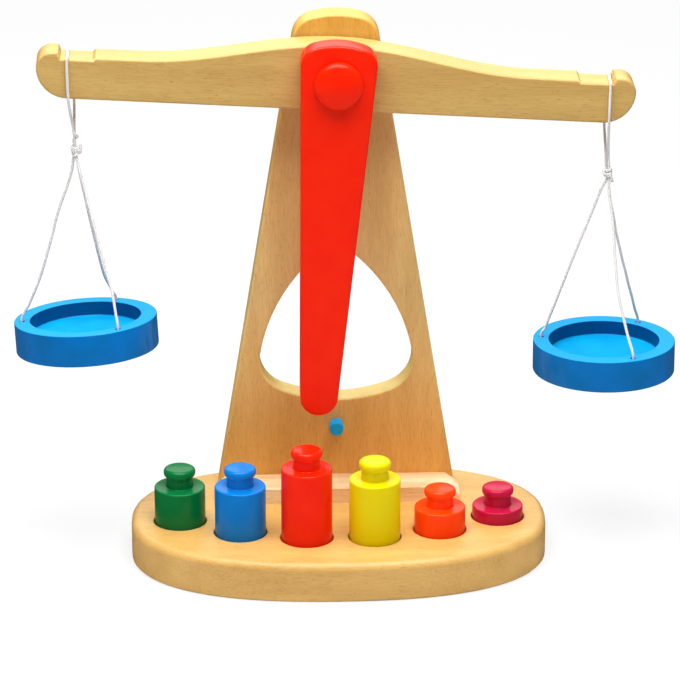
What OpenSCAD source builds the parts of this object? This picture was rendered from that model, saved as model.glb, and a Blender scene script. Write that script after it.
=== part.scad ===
// Wooden balance scale toy: a board on a base carries a beam with a long pointer, two hanging
// dishes and six lift-out weights.
// The origin is the middle of the base's underside: X to the right, Y to the back, Z up.

/* [Base] */
// Length of the oval base, left to right
base_len = 228; // [210:1:250]
// Depth of the oval base, front to back
base_depth = 141; // [130:1:160]
// Thickness of the base
base_t = 22; // [18:0.5:28]
// Radius of the rounded top edge
base_round = 4.2; // [1:0.1:8]
// Width of the small bevel around the underside
base_ease = 1; // [0.4:0.1:2]
// Squareness of the oval: 2 is an ellipse, a higher value is squarer
base_squareness = 2.4; // [2:0.05:3]

/* [Tower] */
// Width of the tower at its foot
tower_foot_w = 132.4; // [120:0.2:145]
// Width between the straight sides, carried up to the top
tower_top_w = 42.8; // [38:0.2:50]
// Height of the tower above the base
tower_h = 275; // [255:1:295]
// Thickness of the tower board
tower_t = 15.5; // [12:0.5:20]
// Distance of the tower's front face behind the middle of the base
tower_back = 34; // [30:0.5:40]
// Radius of the crowned top
tower_crown_r = 55; // [45:1:80]
// Radius of the crown's two corners
tower_corner_r = 14; // [8:0.5:16]
// Radius of the eased edges of the tower and its window
tower_ease = 1.4; // [0.4:0.1:2.5]

/* [Window] */
// Width of the window
window_w = 84.4; // [76:0.2:90]
// Height of the window
window_h = 91; // [84:0.5:98]
// Height of the window's lowest point above the base
window_up = 53.5; // [48:0.5:60]
// Radius of the window's bottom edge
window_bottom_r = 82; // [60:1:120]
// Radius of the window's lower corners
window_corner_r = 20; // [14:0.5:26]
// Radius of the window's bowed sides
window_side_r = 98; // [85:1:130]
// Radius of the window's narrow top
window_top_r = 7; // [4:0.5:10]

/* [Foot strip] */
// Length of the strip at the foot of the tower
strip_len = 136; // [120:1:150]
// Depth of the strip, front to back
strip_depth = 21; // [16:0.5:23]
// Height of the strip
strip_h = 9; // [7:0.5:12]
// Length of the bevel at each end of the strip
strip_bevel_run = 7.4; // [2:0.2:12]
// Height of that bevel
strip_bevel_drop = 5.2; // [2:0.2:6.5]
// Radius of the strip's eased edges
strip_ease = 0.7; // [0.3:0.1:1.2]

/* [Marker peg] */
// Diameter of the marker peg
marker_d = 7.8; // [5:0.2:10]
// How far it stands out of the tower
marker_out = 8; // [4:0.5:12]
// How deep it is glued into the tower
marker_sunk = 10; // [6:0.5:11]
// Height of the marker peg above the base
marker_up = 38.5; // [32:0.5:44]

/* [Axle] */
// Distance of the axle below the tower's top
axle_down = 28.4; // [24:0.1:34]
// Diameter of the axle peg
axle_d = 10; // [8:0.2:12]
// Radial clearance of the turning bores
axle_play = 0.1; // [0.02:0.01:0.1]
// Depth of the axle peg in the tower
axle_sunk = 13; // [9:0.5:14]
// Diameter of the axle peg's head
head_d = 26; // [20:0.5:30]
// Thickness of the head at its edge
head_edge = 2.7; // [1.5:0.1:4]
// Height of the dome on the head
head_dome = 3.8; // [2:0.1:6]
// Gap between the head and the pointer
head_gap = 0.3; // [0.1:0.05:0.8]
// Outer diameter of the washer
washer_d = 22; // [16:0.5:28]
// Thickness of the washer
washer_t = 1.3; // [0.8:0.1:3]
// Gap between the washer and the beam
washer_gap = 0.2; // [0.1:0.05:0.8]

/* [Beam] */
// Length of the beam
beam_len = 320.6; // [310:0.2:330]
// Thickness of the beam, front to back
beam_t = 19; // [15:0.5:24]
// Depth of the beam below the axle
beam_below = 19.1; // [17:0.1:22]
// Height of the arms above the axle
beam_arm_rise = 4.3; // [3:0.1:6]
// Height of the hump in the middle above the axle
beam_hump_rise = 17.2; // [15:0.1:19]
// Distance from the axle to the end of the hump
beam_hump_reach = 105; // [90:1:115]
// Distance from the axle to the start of the notch
notch_start = 129; // [124:0.5:134]
// Distance from the axle to the end of the notch
notch_end = 147.5; // [146.5:0.1:149]
// Depth of the notch below the arm
notch_depth = 1.5; // [0.8:0.1:2.5]
// Length of the slope at each side of the notch
notch_slope = 1.4; // [0.4:0.1:2]
// Height of the end's top above the axle
end_rise = 6.2; // [5:0.1:8]
// Radius of the end's lower corner
end_low_r = 17; // [13:0.5:18]
// Radius of the beam's eased edges
beam_ease = 1.2; // [0.4:0.1:2]

/* [Pointer] */
// Height of the pointer above the axle
pointer_above = 21.4; // [19:0.1:23]
// Length of the pointer below the axle
pointer_below = 189.4; // [180:0.1:196]
// Width between the straight sides, carried up to the top
pointer_top_w = 42.2; // [38:0.2:46]
// Radius of the pointer's rounded tip
pointer_tip_r = 10.3; // [8:0.1:12]
// Thickness of the pointer
pointer_t = 14.5; // [10:0.5:18]
// Radius of the pointer's crowned top
pointer_crown_r = 44; // [36:1:60]
// Radius of the crown's two corners
pointer_corner_r = 10; // [6:0.5:13]
// Radius of the pointer's eased edges
pointer_ease = 1.8; // [0.5:0.1:3]
// Diameter of the hidden dowel between pointer and beam
dowel_d = 5; // [4:0.2:6]
// Length of the dowel in each of the two
dowel_sunk = 9; // [6:0.5:11]
// Distance of the dowel below the axle
dowel_down = 13; // [11.5:0.1:14]

/* [Dishes] */
// Outer diameter of a dish
dish_d = 78; // [70:0.5:82]
// Inner diameter of a dish
dish_hollow_d = 60.5; // [54:0.5:62]
// Height of a dish
dish_h = 17.5; // [15:0.5:20]
// Depth of the hollow
dish_hollow = 8; // [5:0.5:10]
// Radius of the dish's eased edges
dish_ease = 1.2; // [0.4:0.1:2]
// Diameter of the cord holes in the rim
cord_hole_d = 3; // [2.6:0.1:3.6]
// Diameter of the counterbore below each cord hole
counterbore_d = 6.2; // [5.8:0.1:6.4]
// Depth of that counterbore
counterbore_depth = 9; // [7:0.5:10]

/* [Hanging] */
// Distance from the axle to the left loop
left_arm = 142.5; // [140:0.1:146]
// Distance from the axle to the right loop
right_arm = 146; // [140:0.1:146]
// Diameter of the cord
cord_d = 1.5; // [1.2:0.1:1.8]
// Distance from the beam's notch down to the knot
knot_drop = 54; // [52:0.5:56]
// Distance from the knot down to the rim of the dish
rim_drop = 96; // [94:0.5:98]
// Height of a knot
knot_h = 7.6; // [6:0.1:8]
// Width of a knot
knot_w = 5.2; // [4.4:0.1:6]
// Height and width of a stop knot under the rim
stop_knot_d = 5; // [4:0.1:5.4]

/* [Weights] */
// Diameter of a weight
weight_d = 27.8; // [24:0.2:30]
// Height that each unit adds to a weight
weight_step = 6.8; // [5.5:0.1:8]
// Radial clearance of a weight in its hole
weight_play = 0.6; // [0.3:0.1:1]
// Depth of the holes
weight_hole_depth = 8; // [5:0.5:12]
// Diameter of a weight's neck
neck_d = 14.6; // [11:0.2:16]
// Height of the neck
neck_h = 6; // [4:0.1:8]
// Diameter of the knob on top
knob_d = 17.6; // [16.6:0.2:20]
// Height of the knob
knob_h = 4.8; // [3.5:0.1:6]
// Radius of the knob's rounded edge
knob_round = 2.1; // [1:0.1:2.3]
// Radius of a weight's eased edges
weight_ease = 0.8; // [0.3:0.1:1.5]
// Radius of the arc that the weights stand on
arc_r = 156; // [150:1:170]
// Distance from the base's ends to the middles of the outermost weights
weight_end_inset = 26.8; // [24:0.1:30]
// Distance from the base's front to the middle of that arc
weight_front_inset = 36.7; // [33:0.1:40]

/* [Screws] */
// Diameter of a screw's shank
screw_d = 4; // [3:0.1:5]
// Diameter of a screw's head
screw_head_d = 8; // [7:0.1:9]
// Height of a screw's head
screw_head_h = 3; // [2:0.1:4]
// How far the screws reach into the tower
screw_reach = 22; // [15:0.5:30]
// Distance of each screw from the middle
screw_out = 42; // [30:0.5:52]
// Depth of the counterbore for a screw's head
screw_pocket = 6; // [5:0.1:8]
// Clearance around a screw in the base
screw_play = 0.5; // [0.2:0.1:0.8]

/* [Resting pose] */
// Tilt of the beam, right end down
rest_tilt = 3.4; // [0:0.1:6]
// Lean of the left loop, foot to the right
left_loop_lean = 2.3; // [0:0.1:3]
// Lean of the right loop, foot to the right
right_loop_lean = 1; // [0:0.1:3]
// Lean of the left cords, foot to the right
left_pan_lean = 1.5; // [0:0.1:3]
// Lean of the right cords, foot to the right
right_pan_lean = 0; // [0:0.1:3]
// Slope of the left dish, left side down
left_dish_roll = 3.2; // [0:0.1:5]
// Slope of the right dish, left side down
right_dish_roll = 0; // [0:0.1:5]
// Slope of the left dish, front up
left_dish_pitch = 5; // [0:0.1:6]
// Slope of the right dish, front up
right_dish_pitch = 1.6; // [0:0.1:6]
// Turn of the left dish about its cords, clockwise from above
left_dish_turn = 1.9; // [0:0.1:8]
// Turn of the right dish about its cords, clockwise from above
right_dish_turn = 4.8; // [0:0.1:8]

/* [Hidden] */

// Facets of a full circle
$fn = 96;
// Points of an arc in an outline
arc_points = 10;
// Points of the oval outline
oval_points = 80;
// Layers of the base's rounded edge
round_layers = 5;
// Layers of a board's eased edge
ease_layers = 3;
// Points along each side of the hump
hump_points = 16;
// Sides of a cord
cord_sides = 8;
// How far a cut runs past a face
over = 1;
// Points of an outline that are nearer than this are one point
same_point = 0.01;
// Gap left between a cord and the piece that it meets
cord_gap = 0.3;

// Colours
cream_wood = "#e6bd78";
tower_wood = "#d39d60";
red_paint = "#e63312";
dark_red_paint = "#f02a12";
blue_paint = "#0f8fd6";
green_paint = "#1b7a45";
yellow_paint = "#f0dc00";
orange_paint = "#ff5a12";
magenta_paint = "#d92a55";
white_cord = "#e4e0dc";
steel = "#a8abae";

// Heights and depths that follow from the sizes above
tower_z = base_t;
top_z = tower_z + tower_h;
axle_z = top_z - axle_down;
marker_z = base_t + marker_up;
beam_back_y = tower_back - washer_t - washer_gap;
beam_front_y = beam_back_y - beam_t;
pointer_front_y = beam_front_y - pointer_t;
head_y = pointer_front_y - head_gap;
hang_y = beam_back_y - beam_t / 2;
turning_bore_d = axle_d + 2 * axle_play;
half_beam = beam_len / 2;
nose_v = end_low_r - beam_below;
end_high_r = end_rise - nose_v;
notch_floor = beam_arm_rise - notch_depth;
loop_v = notch_floor + cord_d / 2;
weight_hole_d = weight_d + 2 * weight_play;
weight_seat_z = base_t - weight_hole_depth;
arc_front = base_depth / 2 - weight_front_inset;
cord_ring_r = (dish_d + dish_hollow_d) / 4;

// Two sides, by the sign of X
LEFT = -1;
RIGHT = 1;
// Where the three cords meet the rim, as angles seen from above: side, front and back
cord_angles = [180, -60, 60];
// Heights of the six weights in units, from left to right
weight_units = [3, 4, 6, 5, 2, 1];
// Angle between two neighbouring weights on their arc
weight_gaps = len(weight_units) - 1;
weight_angle = 2 * asin((base_len / 2 - weight_end_inset) / arc_r) / weight_gaps;

// Routes of the cords, chosen by hand. A loop runs from the knot up the front of the beam,
// over the notch and down the back. A pan cord runs from the knot to its stop knot.
left_loop_route = [
    [-140, 22, 230.8], [-140.3, 22, 238], [-142.4, 12.4, 257], [-142.1, 12.4, 278.8],
    [-142.1, 12.8, 280.2], [-142.1, 14.2, 280.9], [-142.1, 23, 280.9], [-142.1, 31.8, 280.9],
    [-142.1, 33.2, 280.2], [-142.1, 33.6, 278.8], [-141.6, 33.6, 257], [-140.3, 24, 238],
    [-140, 24, 230.8]
];
right_loop_route = [
    [146.8, 22, 213.7], [146.8, 22, 221], [146.2, 12.4, 239.5], [145.9, 12.4, 261.7],
    [145.9, 12.8, 263.1], [145.9, 14.2, 263.8], [145.9, 23, 263.8], [145.9, 31.8, 263.8],
    [145.9, 33.2, 263.1], [145.9, 33.6, 261.7], [146.2, 33.6, 239.5], [146.8, 24, 221],
    [146.8, 24, 213.7]
];
left_side_route = [
    [-140.9, 23, 222.5], [-150.1, 23.3, 195], [-157.3, 23.6, 169.9], [-163.5, 23.9, 151.9],
    [-171.9, 24.1, 128.7], [-171.5, 23.4, 120.3]
];
left_front_route = [
    [-139.4, 22.1, 222.5], [-135.7, 15.9, 205], [-130.4, 8.2, 181], [-125.2, 0.6, 158],
    [-121.2, -7.5, 134.3], [-120.8, -8.2, 126]
];
left_back_route = [
    [-139.4, 23.9, 222.5], [-135.3, 29.9, 202], [-129, 39.7, 170.1], [-123.1, 47, 147.1],
    [-118.9, 52.3, 129.2], [-118.5, 51.5, 120.8]
];
right_side_route = [
    [145.9, 23, 205.4], [137.1, 23.7, 184], [129.4, 24.4, 160], [120.4, 25.2, 134.9],
    [112.4, 25.9, 113.4], [112.4, 25.7, 105.1]
];
right_front_route = [
    [147.4, 22.1, 205.4], [150.9, 11, 172], [153.1, 3.2, 148], [157.4, -3.6, 129],
    [161.6, -8.2, 114.4], [161.6, -8.5, 106]
];
right_back_route = [
    [147.4, 23.9, 205.4], [152.8, 31.6, 180], [158.5, 39.1, 154], [163.5, 46.5, 129],
    [166.6, 51.4, 112.7], [166.6, 51.2, 104.3]
];

function arc(centre, r, from, to) =
    [for (i = [0:arc_points])
        let (a = from + (to - from) * i / arc_points)
        centre + r * [cos(a), sin(a)]];
function reversed(points) = [for (i = [len(points) - 1:-1:0]) points[i]];
function mirrored(points) = [for (p = reversed(points)) [-p[0], p[1]]];
function by_side(side, values) = side == LEFT ? values[0] : values[1];

// The right half of a crowned top, from the straight side up to the middle. The side is
// w from the middle at the top's height and gains slope times the height.
function crown(w, slope, top, r, corner_r) =
    let (
        lean = sqrt(1 + slope * slope),
        g = w - corner_r * lean,
        h = g * slope + r,
        q = r - corner_r,
        down = (-h + sqrt(h * h - lean * lean * (g * g + r * r - q * q))) / (lean * lean),
        middle = [g + slope * down, top + down],
        turn = atan2(down + r, middle[0])
    )
    concat(arc(middle, corner_r, -atan(slope), turn), arc([0, top - r], r, turn, 90));

function oval_point(half_len, half_depth, a) =
    let (c = cos(a), s = sin(a), power = 2 / base_squareness)
    [half_len * sign(c) * pow(abs(c), power), half_depth * sign(s) * pow(abs(s), power)];

function weight_at(i) =
    let (a = weight_angle * (i - weight_gaps / 2))
    [arc_r * sin(a), arc_r * (1 - cos(a)) - arc_front];

// Where the loop rests on the beam, where the knot hangs and where the rim's middle hangs
function loop_at(side) =
    let (out = side * by_side(side, [left_arm, right_arm]))
    [
        out * cos(rest_tilt) + loop_v * sin(rest_tilt), hang_y,
        axle_z - out * sin(rest_tilt) + loop_v * cos(rest_tilt)
    ];
function hung(from, drop, lean) = from + drop * [sin(lean), 0, -cos(lean)];
function knot_at(side) =
    hung(loop_at(side), knot_drop, by_side(side, [left_loop_lean, right_loop_lean]));
function rim_at(side) =
    hung(knot_at(side), rim_drop, by_side(side, [left_pan_lean, right_pan_lean]));

// A closed skin over rings of equally many points. Each ring runs counterclockwise as seen
// from the last ring.
module skin(rings) {
    n = len(rings);
    sides = len(rings[0]);
    walls = [for (i = [0:n - 2], k = [0:sides - 1])
        let (a = i * sides + k, b = i * sides + (k + 1) % sides)
        [a, a + sides, b + sides, b]];
    first = [for (k = [0:sides - 1]) k];
    last = [for (k = [sides - 1:-1:0]) (n - 1) * sides + k];
    polyhedron([for (ring = rings) each ring], concat([first], walls, [last]), convexity = 6);
}

// A tube with a ring at each point of its route
module cord(route) {
    last = len(route) - 1;
    color(white_cord) skin([for (i = [0:last])
        let (
            ahead = route[min(i + 1, last)] - route[min(i, last - 1)],
            behind = route[max(i, 1)] - route[max(i - 1, 0)],
            along = ahead / norm(ahead) + behind / norm(behind),
            side = cross(along, [1, 0, 0]),
            across = side / norm(side),
            upward = cross(along, across) / norm(along)
        )
        [for (k = [0:cord_sides - 1])
            let (a = 360 * k / cord_sides)
            route[i] + cord_d / 2 * (cos(a) * across + sin(a) * upward)]]);
}

function distinct(points) = [for (i = [0:len(points) - 1])
    if (norm(points[i] - points[(i + 1) % len(points)]) > same_point) points[i]];

// A counterclockwise outline drawn in by an inset
function drawn_in(points, inset) =
    let (n = len(points))
    [for (i = [0:n - 1])
        let (
            before = points[i] - points[(i + n - 1) % n],
            after = points[(i + 1) % n] - points[i],
            first = [-before[1], before[0]] / norm(before),
            second = [-after[1], after[0]] / norm(after)
        )
        points[i] + inset * (first + second) / (1 + first * second)];
function upright_ring(outline, inset, y) = [for (p = drawn_in(outline, inset)) [p[0], y, p[1]]];

// Inset and depth of each layer of a rounded edge, from the face inwards
function rounded_edge(r) = [for (i = [0:ease_layers])
    let (a = 90 * i / ease_layers)
    [r * (1 - sin(a)), r * (1 - cos(a))]];

// An upright body between two faces, with the same edge at both of them
module upright(points, back_y, t, edge) {
    outline = distinct(points);
    skin(concat(
        [for (layer = edge) upright_ring(outline, layer[0], back_y - layer[1])],
        [for (layer = reversed(edge)) upright_ring(outline, layer[0], back_y - t + layer[1])]
    ));
}

// A board of the given counterclockwise outline in X and Z, from back_y forwards, with
// eased edges
module board(points, back_y, t, ease) {
    upright(points, back_y, t, rounded_edge(ease));
}

// The opening through such a board. Its edges flare, a little past both faces.
module board_opening(points, back_y, t, ease) {
    edge = rounded_edge(ease);
    upright(points, back_y, t, [for (layer = concat([2 * edge[0] - edge[1]], edge))
        [-layer[0], layer[1]]]);
}

// Children whose foot runs into the base, cut off at its top
module standing_on_base(sunk) {
    difference() {
        children();
        translate([-base_len / 2, 0, base_t - sunk - over])
            cube([base_len, base_depth / 2, sunk + over]);
    }
}

// A round along Y, from y forwards
module round_bar(d, x, z, back_y, length) {
    translate([x, back_y, z]) rotate([90, 0, 0]) cylinder(d = d, h = length);
}

// Children made about the axle, tilted with the beam
module on_beam() {
    translate([0, 0, axle_z]) rotate([0, rest_tilt, 0]) children();
}

// The oval at a height, drawn in by an inset
function base_ring(inset, z) = [for (i = [0:oval_points - 1])
    let (p = oval_point(base_len / 2 - inset, base_depth / 2 - inset, 360 * i / oval_points))
    [p[0], p[1], z]];

module base() {
    color(cream_wood) difference() {
        skin(concat(
            [base_ring(base_ease, 0), base_ring(0, base_ease)],
            [for (i = [0:round_layers])
                let (a = 90 * i / round_layers)
                base_ring(base_round * (1 - cos(a)), base_t - base_round * (1 - sin(a)))]
        ));
        for (i = [0:weight_gaps])
            translate([weight_at(i)[0], weight_at(i)[1], weight_seat_z])
                cylinder(d = weight_hole_d, h = weight_hole_depth + over);
        for (x = [-screw_out, screw_out])
            translate([x, tower_back + tower_t / 2, 0]) {
                translate([0, 0, -over]) cylinder(d = screw_d + 2 * screw_play, h = base_t + 2 * over);
                translate([0, 0, -over])
                    cylinder(d = screw_head_d + 2 * screw_play, h = screw_pocket + over);
            }
    }
}

// The right half of the tower, from below its foot up to the middle of its top
function tower_half() =
    let (taper = (tower_foot_w - tower_top_w) / 2 / tower_h, sunk = tower_ease + over)
    concat(
        [[tower_foot_w / 2 + taper * sunk, tower_z - sunk]],
        crown(tower_top_w / 2, -taper, top_z, tower_crown_r, tower_corner_r)
    );

// The right half of the window, from its lowest point up to its narrow top: four arcs that
// run into each other
function window_half() =
    let (
        low = base_t + window_up,
        bottom = [0, low + window_bottom_r],
        corner_x = window_w / 2 - window_corner_r,
        bottom_reach = window_bottom_r - window_corner_r,
        corner = [corner_x, bottom[1] - sqrt(bottom_reach * bottom_reach - corner_x * corner_x)],
        tip = [0, low + window_h - window_top_r],
        corner_reach = window_side_r - window_corner_r,
        tip_reach = window_side_r - window_top_r,
        apart = norm(tip - corner),
        along = (tip - corner) / apart,
        ahead = (corner_reach * corner_reach - tip_reach * tip_reach + apart * apart) / 2 / apart,
        aside = sqrt(corner_reach * corner_reach - ahead * ahead),
        bow = corner + ahead * along + aside * [-along[1], along[0]],
        a = atan2(corner[1] - bottom[1], corner[0]),
        b = atan2(corner[1] - bow[1], corner[0] - bow[0]),
        c = atan2(tip[1] - bow[1], tip[0] - bow[0])
    )
    concat(
        arc(bottom, window_bottom_r, -90, a), arc(corner, window_corner_r, a, b),
        arc(bow, window_side_r, b, c), arc(tip, window_top_r, c, 90)
    );

module tower() {
    back_y = tower_back + tower_t;
    color(tower_wood) difference() {
        standing_on_base(tower_ease + over)
            board(concat(tower_half(), mirrored(tower_half())), back_y, tower_t, tower_ease);
        board_opening(
            concat(window_half(), mirrored(window_half())), back_y, tower_t, tower_ease
        );
        round_bar(axle_d, 0, axle_z, tower_back + axle_sunk, axle_sunk + over);
        round_bar(marker_d, 0, marker_z, tower_back + marker_sunk, marker_sunk + over);
        for (x = [-screw_out, screw_out])
            translate([x, tower_back + tower_t / 2, base_t - over])
                cylinder(d = screw_d, h = screw_reach + over);
    }
}

module foot_strip() {
    sunk = strip_ease + over;
    half = [
        [strip_len / 2, base_t - sunk], [strip_len / 2, base_t + strip_h - strip_bevel_drop],
        [strip_len / 2 - strip_bevel_run, base_t + strip_h]
    ];
    color(cream_wood) standing_on_base(sunk)
        board(concat(half, mirrored(half)), tower_back, strip_depth, strip_ease);
}

module marker_peg() {
    color(blue_paint)
        round_bar(marker_d, 0, marker_z, tower_back + marker_sunk, marker_sunk + marker_out);
}

module axle_peg() {
    dome_r = (head_d * head_d / 4 + head_dome * head_dome) / 2 / head_dome;
    edge_angle = asin(head_d / 2 / dome_r);
    shank = tower_back + axle_sunk - head_y;
    profile = concat(
        [[0, -shank], [axle_d / 2, -shank], [axle_d / 2, 0], [head_d / 2, 0]],
        arc([0, head_edge + head_dome - dome_r], dome_r, 90 - edge_angle, 90)
    );
    color(dark_red_paint) translate([0, head_y, axle_z]) rotate([90, 0, 0])
        rotate_extrude() polygon(profile);
}

module spacer_washer() {
    color(steel) difference() {
        round_bar(washer_d, 0, axle_z, tower_back, washer_t);
        round_bar(turning_bore_d, 0, axle_z, tower_back + over, washer_t + 2 * over);
    }
}

module tower_screws() {
    color(steel) for (x = [-screw_out, screw_out])
        translate([x, tower_back + tower_t / 2, screw_pocket]) {
            cylinder(d = screw_d, h = base_t - screw_pocket + screw_reach);
            translate([0, 0, -screw_head_h]) cylinder(d = screw_head_d, h = screw_head_h);
        }
}

// The right half of the beam, from its underside around the end up to the top of the hump
function beam_half() =
    let (hump = beam_hump_rise - beam_arm_rise)
    concat(
        arc([half_beam - end_low_r, nose_v], end_low_r, -90, 0),
        arc([half_beam - end_high_r, nose_v], end_high_r, 0, 90),
        [
            [notch_end + notch_slope, end_rise], [notch_end, notch_floor],
            [notch_start + notch_slope, notch_floor], [notch_start, beam_arm_rise]
        ],
        [for (i = [hump_points:-1:0])
            let (share = i / hump_points, swell = cos(90 * share))
            [beam_hump_reach * share, beam_arm_rise + hump * swell * swell]]
    );

module balance_beam() {
    color(cream_wood) on_beam() difference() {
        board(concat(beam_half(), mirrored(beam_half())), beam_back_y, beam_t, beam_ease);
        round_bar(turning_bore_d, 0, 0, beam_back_y + over, beam_t + 2 * over);
        round_bar(dowel_d, 0, -dowel_down, beam_front_y + dowel_sunk, dowel_sunk + over);
    }
}

// The pointer's side runs straight from its crown and meets the round tip at a tangent
function pointer_half() =
    let (
        w = pointer_top_w / 2,
        r = pointer_tip_r,
        d = pointer_above + pointer_below - r,
        slope = (w * d - sqrt(w * w * d * d - (d * d - r * r) * (w * w - r * r))) / (d * d - r * r)
    )
    concat(
        arc([0, r - pointer_below], r, -90, -atan(slope)),
        crown(w, slope, pointer_above, pointer_crown_r, pointer_corner_r)
    );

module pointer() {
    color(red_paint) on_beam() difference() {
        board(
            concat(pointer_half(), mirrored(pointer_half())),
            beam_front_y, pointer_t, pointer_ease
        );
        round_bar(turning_bore_d, 0, 0, beam_front_y + over, pointer_t + 2 * over);
        round_bar(dowel_d, 0, -dowel_down, beam_front_y + over, dowel_sunk + over);
    }
}

module pointer_dowel() {
    color(cream_wood) on_beam()
        round_bar(dowel_d, 0, -dowel_down, beam_front_y + dowel_sunk, 2 * dowel_sunk);
}

module knot(side) {
    profile = [for (i = [0:2 * arc_points])
        let (a = -90 + 90 * i / arc_points)
        [i == 0 || i == 2 * arc_points ? 0 : knot_w / 2 * cos(a), knot_h / 2 * sin(a)]];
    color(white_cord) translate(knot_at(side)) rotate_extrude($fn = 24) polygon(profile);
}

module on_dish(side) {
    roll = by_side(side, [left_dish_roll, right_dish_roll]);
    pitch = by_side(side, [left_dish_pitch, right_dish_pitch]);
    turn = by_side(side, [left_dish_turn, right_dish_turn]);
    translate(rim_at(side)) rotate([-pitch, -roll, 0]) rotate(-turn) children();
}

module at_cord_holes() {
    for (a = cord_angles) rotate(a) translate([cord_ring_r, 0, 0]) children();
}

module dish(side) {
    r = dish_d / 2;
    hollow_r = dish_hollow_d / 2;
    e = dish_ease;
    profile = concat(
        [[0, -dish_h]], arc([r - e, e - dish_h], e, -90, 0), arc([r - e, -e], e, 0, 90),
        arc([hollow_r + e, -e], e, 90, 180),
        arc([hollow_r - e, e - dish_hollow], e, 0, -90), [[0, -dish_hollow]]
    );
    color(blue_paint) on_dish(side) difference() {
        rotate_extrude() polygon(profile);
        at_cord_holes() {
            translate([0, 0, -dish_h - over]) cylinder(d = cord_hole_d, h = dish_h + 2 * over);
            translate([0, 0, -dish_h - over])
                cylinder(d = counterbore_d, h = counterbore_depth + over);
        }
    }
}

// Each stop knot sits up in its counterbore, just under the rim's cord hole
module stop_knots(side) {
    profile = [for (i = [0:2 * arc_points])
        let (a = -90 + 90 * i / arc_points)
        [i == 0 || i == 2 * arc_points ? 0 : stop_knot_d / 2 * cos(a), stop_knot_d / 2 * sin(a)]];
    seat = counterbore_depth - dish_h - stop_knot_d / 2 - cord_gap / 2;
    color(white_cord) on_dish(side) at_cord_holes() translate([0, 0, seat])
        rotate_extrude($fn = 24) polygon(profile);
}

module weight(i, paint) {
    r = weight_d / 2;
    e = weight_ease;
    body_h = weight_hole_depth + weight_units[i] * weight_step;
    knob_z = body_h + neck_h;
    k = knob_round;
    profile = concat(
        [[0, 0]], arc([r - e, e], e, -90, 0), arc([r - e, body_h - e], e, 0, 90),
        [[neck_d / 2, body_h], [neck_d / 2, knob_z]],
        arc([knob_d / 2 - k, knob_z + k], k, -90, 0),
        arc([knob_d / 2 - k, knob_z + knob_h - k], k, 0, 90), [[0, knob_z + knob_h]]
    );
    color(paint) translate([weight_at(i)[0], weight_at(i)[1], weight_seat_z])
        rotate_extrude() polygon(profile);
}

base();
tower();
foot_strip();
marker_peg();
axle_peg();
spacer_washer();
tower_screws();
balance_beam();
pointer();
pointer_dowel();
cord(left_loop_route);  // left_loop
knot(LEFT);  // left_knot
cord(left_side_route);  // left_side_cord
cord(left_front_route);  // left_front_cord
cord(left_back_route);  // left_back_cord
dish(LEFT);  // left_dish
stop_knots(LEFT);  // left_stop_knots
cord(right_loop_route);  // right_loop
knot(RIGHT);  // right_knot
cord(right_side_route);  // right_side_cord
cord(right_front_route);  // right_front_cord
cord(right_back_route);  // right_back_cord
dish(RIGHT);  // right_dish
stop_knots(RIGHT);  // right_stop_knots
weight(0, green_paint);  // green_weight
weight(1, blue_paint);  // blue_weight
weight(2, red_paint);  // red_weight
weight(3, yellow_paint);  // yellow_weight
weight(4, orange_paint);  // orange_weight
weight(5, magenta_paint);  // magenta_weight
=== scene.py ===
import math

import bmesh
import bpy
from mathutils import Matrix, Vector


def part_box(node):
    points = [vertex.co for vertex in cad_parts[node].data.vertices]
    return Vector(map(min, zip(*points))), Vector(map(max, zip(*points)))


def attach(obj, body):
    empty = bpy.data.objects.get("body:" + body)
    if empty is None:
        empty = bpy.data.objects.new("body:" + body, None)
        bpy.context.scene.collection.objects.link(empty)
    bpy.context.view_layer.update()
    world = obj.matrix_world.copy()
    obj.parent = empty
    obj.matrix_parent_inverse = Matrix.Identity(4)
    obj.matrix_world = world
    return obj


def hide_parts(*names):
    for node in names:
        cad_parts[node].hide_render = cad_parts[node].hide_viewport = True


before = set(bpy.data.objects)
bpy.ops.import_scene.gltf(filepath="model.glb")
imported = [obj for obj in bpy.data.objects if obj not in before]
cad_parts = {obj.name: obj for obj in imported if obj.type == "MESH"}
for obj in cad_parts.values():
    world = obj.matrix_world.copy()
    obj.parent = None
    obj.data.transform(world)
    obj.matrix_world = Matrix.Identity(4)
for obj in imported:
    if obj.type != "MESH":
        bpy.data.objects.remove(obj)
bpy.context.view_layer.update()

mm = 0.001
print("frame loaded:", len(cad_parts), "nodes")

# Small helpers that every piece uses

sharpAngle = math.radians(40)  # edges that turn more than this stay sharp
# How close corners lie before they become one, in metres: in a finished piece, in a new shape, in
# the loose triangles of a solid, and after a cut
merge = {"piece": 1e-7, "shape": 1e-6, "solid": 2e-6, "cut": 5e-6}
onPlane = 1e-5  # how close a corner lies to a flat face that it belongs to, in metres


def link(obj):
    bpy.context.scene.collection.objects.link(obj)
    return obj


def rotation(degrees, axis):
    return Matrix.Rotation(math.radians(degrees), 4, axis)


def linear(hexColour):
    # #rrggbb as the linear colour that a shader takes
    channels = [int(hexColour[i:i + 2], 16) / 255 for i in (1, 3, 5)]
    return [c / 12.92 if c <= 0.04045 else ((c + 0.055) / 1.055) ** 2.4 for c in channels] + [1]


def addNode(tree, kind, inputs=None, stops=None, **settings):
    # One shader node: settings are its own values, inputs are numbers, colours or links.
    # A colour Mix takes its share at 0 and its colours at 6 and 7, and gives the result at 2.
    node = tree.nodes.new("ShaderNode" + kind)
    for name, value in settings.items():
        setattr(node, name, value)
    for name, value in (inputs or {}).items():
        if isinstance(value, bpy.types.NodeSocket):
            tree.links.new(value, node.inputs[name])
        else:
            node.inputs[name].default_value = value
    for i, (place, colour) in enumerate(stops or []):
        ramp = node.color_ramp.elements
        stop = ramp[i] if i < 2 else ramp.new(place)
        stop.position = place
        stop.color = linear(colour)
    return node


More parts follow.
